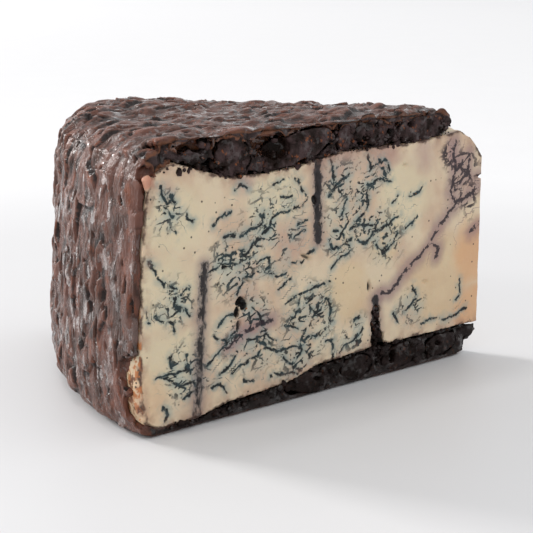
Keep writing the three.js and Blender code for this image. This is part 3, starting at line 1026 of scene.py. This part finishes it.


# %% [markdown]
# The paste is waxy and a little see-through, so light sinks in: that is Subsurface. Its colour comes
# in layers, the way it ripens: cream, then pink and yellow patches, then a blue haze where mould is
# near, then the lines of mould themselves. Last come the dark holes, darkened with depth as painted
# shade over blue-grey mould dust; the dark line where paste meets crust is partly a thin skin and
# partly painted shade. Round places, given as distance from the tip and height, say where a patch lies.

# %% The paste's finish
def cheese_finish():
    made, nodes, shader, place = new_material("blue_cheese_paste")
    noise, fade, wander, mix = nodes.noise, nodes.fade, nodes.wander, nodes.mix
    product, total, most = nodes.product, nodes.total, nodes.most
    local = nodes.vector("SUBTRACT", place, tuple(TIP / MM))
    axes = nodes.split(local)
    distance = nodes.length(nodes.build(axes[0], axes[1]))
    spot = nodes.build(distance, axes[2])
    leant = {"Vector": nodes.build(distance, axes[2], axes[1]), "Axis": (0, 0, 1), "Angle": math.radians(20)}
    upslope = nodes.put("ShaderNodeVectorRotate", leant).outputs[0]

    def patch(places, edge=0.5):
        """A mask from round places: each is (distance, height, reach)."""
        led = wander(spot, 9, 4)
        return most(*[fade(nodes.apart(led, (s, z, 0)), reach, reach * edge) for s, z, reach in places])

    def tint(colour, mask, new, share=1.0):
        return mix(nodes.math("MULTIPLY", mask, share, clamp=True), colour, new)

    blotch = noise(place, 13, 3.0, 0.5)
    colour = mix(fade(blotch, 0.38, 0.62), (0.67, 0.55, 0.39), (0.58, 0.425, 0.30))
    for places, new, share in (
        ([(130, 40, 16), (128, 20, 14), (126, 60, 14), (36, 56, 15), (90, 60, 12)], (0.67, 0.58, 0.40), 0.8),
        ([(20, 28, 20), (60, 30, 12), (45, 44, 9)], (0.66, 0.50, 0.30), 0.6),
        ([(2, 35, 14), (2, 15, 12)], (0.66, 0.38, 0.20), 0.8),
        ([(140, 10, 14)], (0.66, 0.42, 0.24), 0.45),
    ):
        colour = tint(colour, patch(places), new, share)
    under_fruit = patch([(62, 71, 8), (44, 70, 8), (28, 69, 8), (14, 67, 8), (100, 68, 6), (128, 68, 5)], 0.0)
    colour = tint(colour, under_fruit, (0.40, 0.25, 0.225), 0.62)
    colour = tint(colour, patch([(50, 70, 13), (64, 68, 9), (100, 24, 10), (84, 50, 9), (100, 38, 8)]),
                  (0.47, 0.30, 0.235), 0.55)
    mouldy = patch([
        (92, 52, 17), (104, 44, 13), (75, 24, 15), (80, 14, 13), (62, 50, 13), (52, 52, 12),
        (64, 64, 10), (44, 44, 11), (122, 16, 12), (125, 37, 10), (98, 22, 14), (127, 63, 9), (32, 20, 9),
        (54, 62, 10), (98, 30, 9), (56, 16, 9),
    ], 0.35)
    haze = fade(noise(upslope, 6, 3.0, 0.6), 0.36, 0.6)
    colour = tint(colour, product(haze, mouldy), (0.40, 0.43, 0.37), 0.6)

    to_vein = nodes.length(attribute(nodes, "to_vein", "Vector"))
    to_streak = nodes.length(attribute(nodes, "to_streak", "Vector"))
    to_channel = nodes.length(attribute(nodes, "to_channel", "Vector"))
    ragged = nodes.ripple(place, 1.2, 1.5, 4.0, 0.7)
    gaps = fade(noise(place, 2.3, 2.0), 0.36, 0.46)

    colour = tint(colour, fade(to_streak, 5.0, 0.5), (0.27, 0.165, 0.175), 0.68)
    cloud = fade(noise(place, 3.2, 3.0, 0.6), 0.36, 0.62)
    near_vein = product(fade(to_vein, 3.0, 0.2), cloud)
    colour = tint(colour, near_vein, (0.25, 0.32, 0.30), 0.62)
    colour = tint(colour, fade(to_channel, 4.6, 1.0), (0.27, 0.19, 0.18), 0.6)

    def net(size, width, chance):
        """Thin lines between warped cells, broken here and there."""
        led = wander(nodes.stretched(upslope, 0.6, 1, 1), size * 0.8, size * 0.35)
        away = product(nodes.cells(led, size, feature="DISTANCE_TO_EDGE"), size)
        lines = fade(total(away, product(ragged, 0.25)), width * 1.35, width * 0.75)
        return product(lines, fade(noise(place, size * 0.7, 2.0), chance + 0.04, chance - 0.02))

    threads = product(most(net(4.4, 0.24, 0.5), net(2.5, 0.16, 0.46)), fade(haze, 0.15, 0.5), mouldy)
    tip_net = product(net(3.2, 0.3, 0.52), patch([(9, 62, 10), (7, 52, 8), (15, 68, 7)], 0.4))
    mould = product(fade(total(to_vein, ragged), 0.50, 0.28), gaps)
    fringe = product(fade(total(to_vein, ragged), 1.05, 0.3), gaps)
    colour = tint(colour, fringe, (0.12, 0.18, 0.18), 0.42)
    mould = most(mould, threads)
    shade = mix(fade(noise(place, 2.6, 2.0), 0.38, 0.62), (0.006, 0.008, 0.010), (0.018, 0.036, 0.042))
    colour = tint(colour, mould, shade, 0.97)
    line = fade(total(to_streak, product(ragged, 1.5)), 0.75, 0.4)
    colour = tint(colour, most(product(line, gaps), tip_net), (0.022, 0.013, 0.019), 0.95)
    drawn = nodes.stretched(place, 1, 1, 0.5)
    frayed = nodes.ripple(drawn, 1.3, 4.0, 4.0, 0.7)
    furred = fade(total(to_channel, frayed), 2.0, 1.2)
    colour = tint(colour, furred, (0.11, 0.115, 0.12), 0.45)
    wider = fade(distance, 100, 80, 0.0, -0.5)
    lining = fade(total(to_channel, frayed, wider), 1.35, 0.6)
    lining = product(lining, fade(noise(place, 6, 2.0), 0.3, 0.4, 0.85, 1.0))
    colour = tint(colour, lining, (0.012, 0.009, 0.011), 0.96)

    to_edge = nodes.length(attribute(nodes, "to_edge", "Vector"))
    stained = fade(noise(place, 5, 3.0, 0.6), 0.4, 0.62)
    colour = tint(colour, product(fade(to_edge, 4.2, 0.4), stained), (0.30, 0.165, 0.12), 0.5)
    # A dark line where the paste meets the crust: partly a thin brown skin, partly painted shade from the
    # crust's edge.
    skin_line_and_shade = fade(total(to_edge, ragged), 1.0, 0.2)
    fat = patch([(RADIUS - 5.2, 71.2, 4)])
    skin_line_and_shade = product(skin_line_and_shade, fade(noise(place, 4.0), 0.36, 0.5), fade(fat, 1.0, 0.0))
    colour = tint(colour, fat, (0.44, 0.17, 0.11), 0.8)
    colour = tint(colour, skin_line_and_shade, (0.05, 0.022, 0.015), 0.9)
    outside = fade(distance, PASTE_RADIUS - 0.8, PASTE_RADIUS - 0.2)
    outside = product(outside, fade(noise(place, 2.6, 4.0, 0.65), 0.48, 0.54))
    glow = fade(noise(place, 3.5, 2.0), 0.4, 0.56)
    outer = mix(glow, (0.11, 0.035, 0.018), (0.42, 0.15, 0.05))
    colour = tint(colour, outside, outer, 0.9)

    dots = nodes.put("ShaderNodeTexVoronoi", {"Vector": place, "Scale": 1 / 2.7}).outputs
    chance = nodes.split(dots["Color"])
    dot = product(fade(dots["Distance"], 0.15, 0.08), fade(chance[0], 0.5, 0.6))
    dot_shade = mix(fade(chance[1], 0.78, 0.8), (0.015, 0.018, 0.016), (0.28, 0.11, 0.03))
    colour = tint(colour, dot, dot_shade, 0.9)

    depth = attribute(nodes, "depth")
    # Inside the holes the colour goes dark with depth behind the cut: painted shade, mixed with blue-grey
    # mould dust.
    dust_and_shade = fade(noise(place, 1.6, 3.0, 0.6), 0.5, 0.7)
    hole = mix(dust_and_shade, (0.008, 0.006, 0.006), (0.030, 0.032, 0.032))
    bare = fade(distance, PASTE_RADIUS - 2.4, PASTE_RADIUS - 1.2, 1.0, 0.0)
    bare = product(bare, fade(axes[2], 72, 73.5, 1.0, 0.0))
    colour = tint(colour, product(fade(depth, 0.55, 1.3), bare), hole, 0.98)

    rough = total(0.36, product(noise(place, 4, 3.0), 0.24))
    rough = total(rough, product(mould, 0.2))
    height = total(noise(place, 1.1, 3.0, 0.6), product(mould, -0.8))
    connect(nodes, shader, height, 0.16, Base_Color=colour, Roughness=rough, IOR=1.37,
            Subsurface_Weight=0.14, Subsurface_Radius=(1.0, 0.55, 0.3), Subsurface_Scale=1.6 * MM)
    return made


dress(cheese, cheese_finish())
dress(crust, crust_finish())
fruit_look = fruit_finish()
for obj in (*fruits.values(), crumbs):
    dress(obj, fruit_look)

# %% [markdown]
# ## On the model, and in front of the camera
# Each piece rides on the model's one body, and the CAD node of the cheese, the crust and each fruit is
# hidden.

# %% Pieces and nodes
for obj, node, slot in (
    [(cheese, "cheese_paste", "blue_cheese_paste"), (crust, "fruit_crust", "dark_crust")]
    + [(obj, node, "cut_fruit") for node, obj in fruits.items()]
):
    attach(obj, "root")
    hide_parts(node)
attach(crumbs, "root")

# %% [markdown]
# A pale floor and soft light. The floor is painted lighter away from the wheel, painted light that
# blends it into the bright backdrop. The big lamp stands behind the wheel's rim and to its left, so
# the rim and the top catch its sheen and the front cut stays in soft, even light.

# %% Floor and lights
bpy.ops.object.select_all(action="DESELECT")
bpy.ops.mesh.primitive_circle_add(vertices=96, radius=12, fill_type="NGON")
floor = bpy.context.object
floor.name = "floor"
made, nodes, shader, place = new_material("pale_floor")
# Lighter with distance from the wheel: painted light on the floor.
far = nodes.fade(nodes.length(place), 180, 420)
tone = nodes.mix(far, (0.67, 0.67, 0.68), (0.79, 0.79, 0.80))
tone = nodes.mix(nodes.product(nodes.noise(place, 40, 3.0), 0.08), tone, (0.5, 0.5, 0.51))
connect(nodes, shader, Base_Color=tone, Roughness=0.5)
dress(floor, made)


def lamp(name, place, target, size, power, colour=(1, 1, 1)):
    """A soft square lamp that shines from place to target, both in metres."""
    bpy.ops.object.light_add(type="AREA", location=place)
    made = bpy.context.object
    made.name = name
    made.rotation_euler = (Vector(target) - Vector(place)).to_track_quat("-Z", "Y").to_euler()
    made.data.size = size
    made.data.energy = power
    made.data.color = colour
    return made


lamp("window", (-1.8, 6.0, 2.6), (0, 0, 0.04), 1.5, 340, (1.0, 0.98, 0.96))
lamp("side_window", (-1.1, 0.15, 0.65), (0, 0, 0.04), 0.16, 3, (1.0, 0.98, 0.96))
lamp("high_lamp", (-0.1, 0.35, 1.3), (0, 0, 0.04), 0.16, 1.5, (1.0, 0.98, 0.96))
lamp("front_fill", (-0.9, -1.2, 0.9), (0, 0, 0.04), 0.6, 2.5, (1.0, 0.98, 0.95))
world = bpy.data.worlds.new("studio")
world.use_nodes = True
world.node_tree.nodes["Background"].inputs["Color"].default_value = (0.985, 0.99, 1.0, 1)
world.node_tree.nodes["Background"].inputs["Strength"].default_value = 0.87
bpy.context.scene.world = world
bpy.context.scene.view_settings.view_transform = "Standard"

# %% The camera
AZIMUTH, ELEVATION = math.radians(-40.5), math.radians(12.75)
DISTANCE, LENS, SENSOR = 412.7, 93.55, 36.0
forward = Vector((
    -math.sin(AZIMUTH) * math.cos(ELEVATION), math.cos(AZIMUTH) * math.cos(ELEVATION), -math.sin(ELEVATION),
))
looked_at = on_cut("front", 83.3, 39.3, 10.8)
bpy.ops.object.camera_add(location=looked_at - forward * DISTANCE * MM)
camera = bpy.context.object
camera.rotation_euler = forward.to_track_quat("-Z", "Y").to_euler()
camera.data.lens, camera.data.sensor_width = LENS, SENSOR
camera.data.clip_start = 0.01
bpy.context.scene.camera = camera
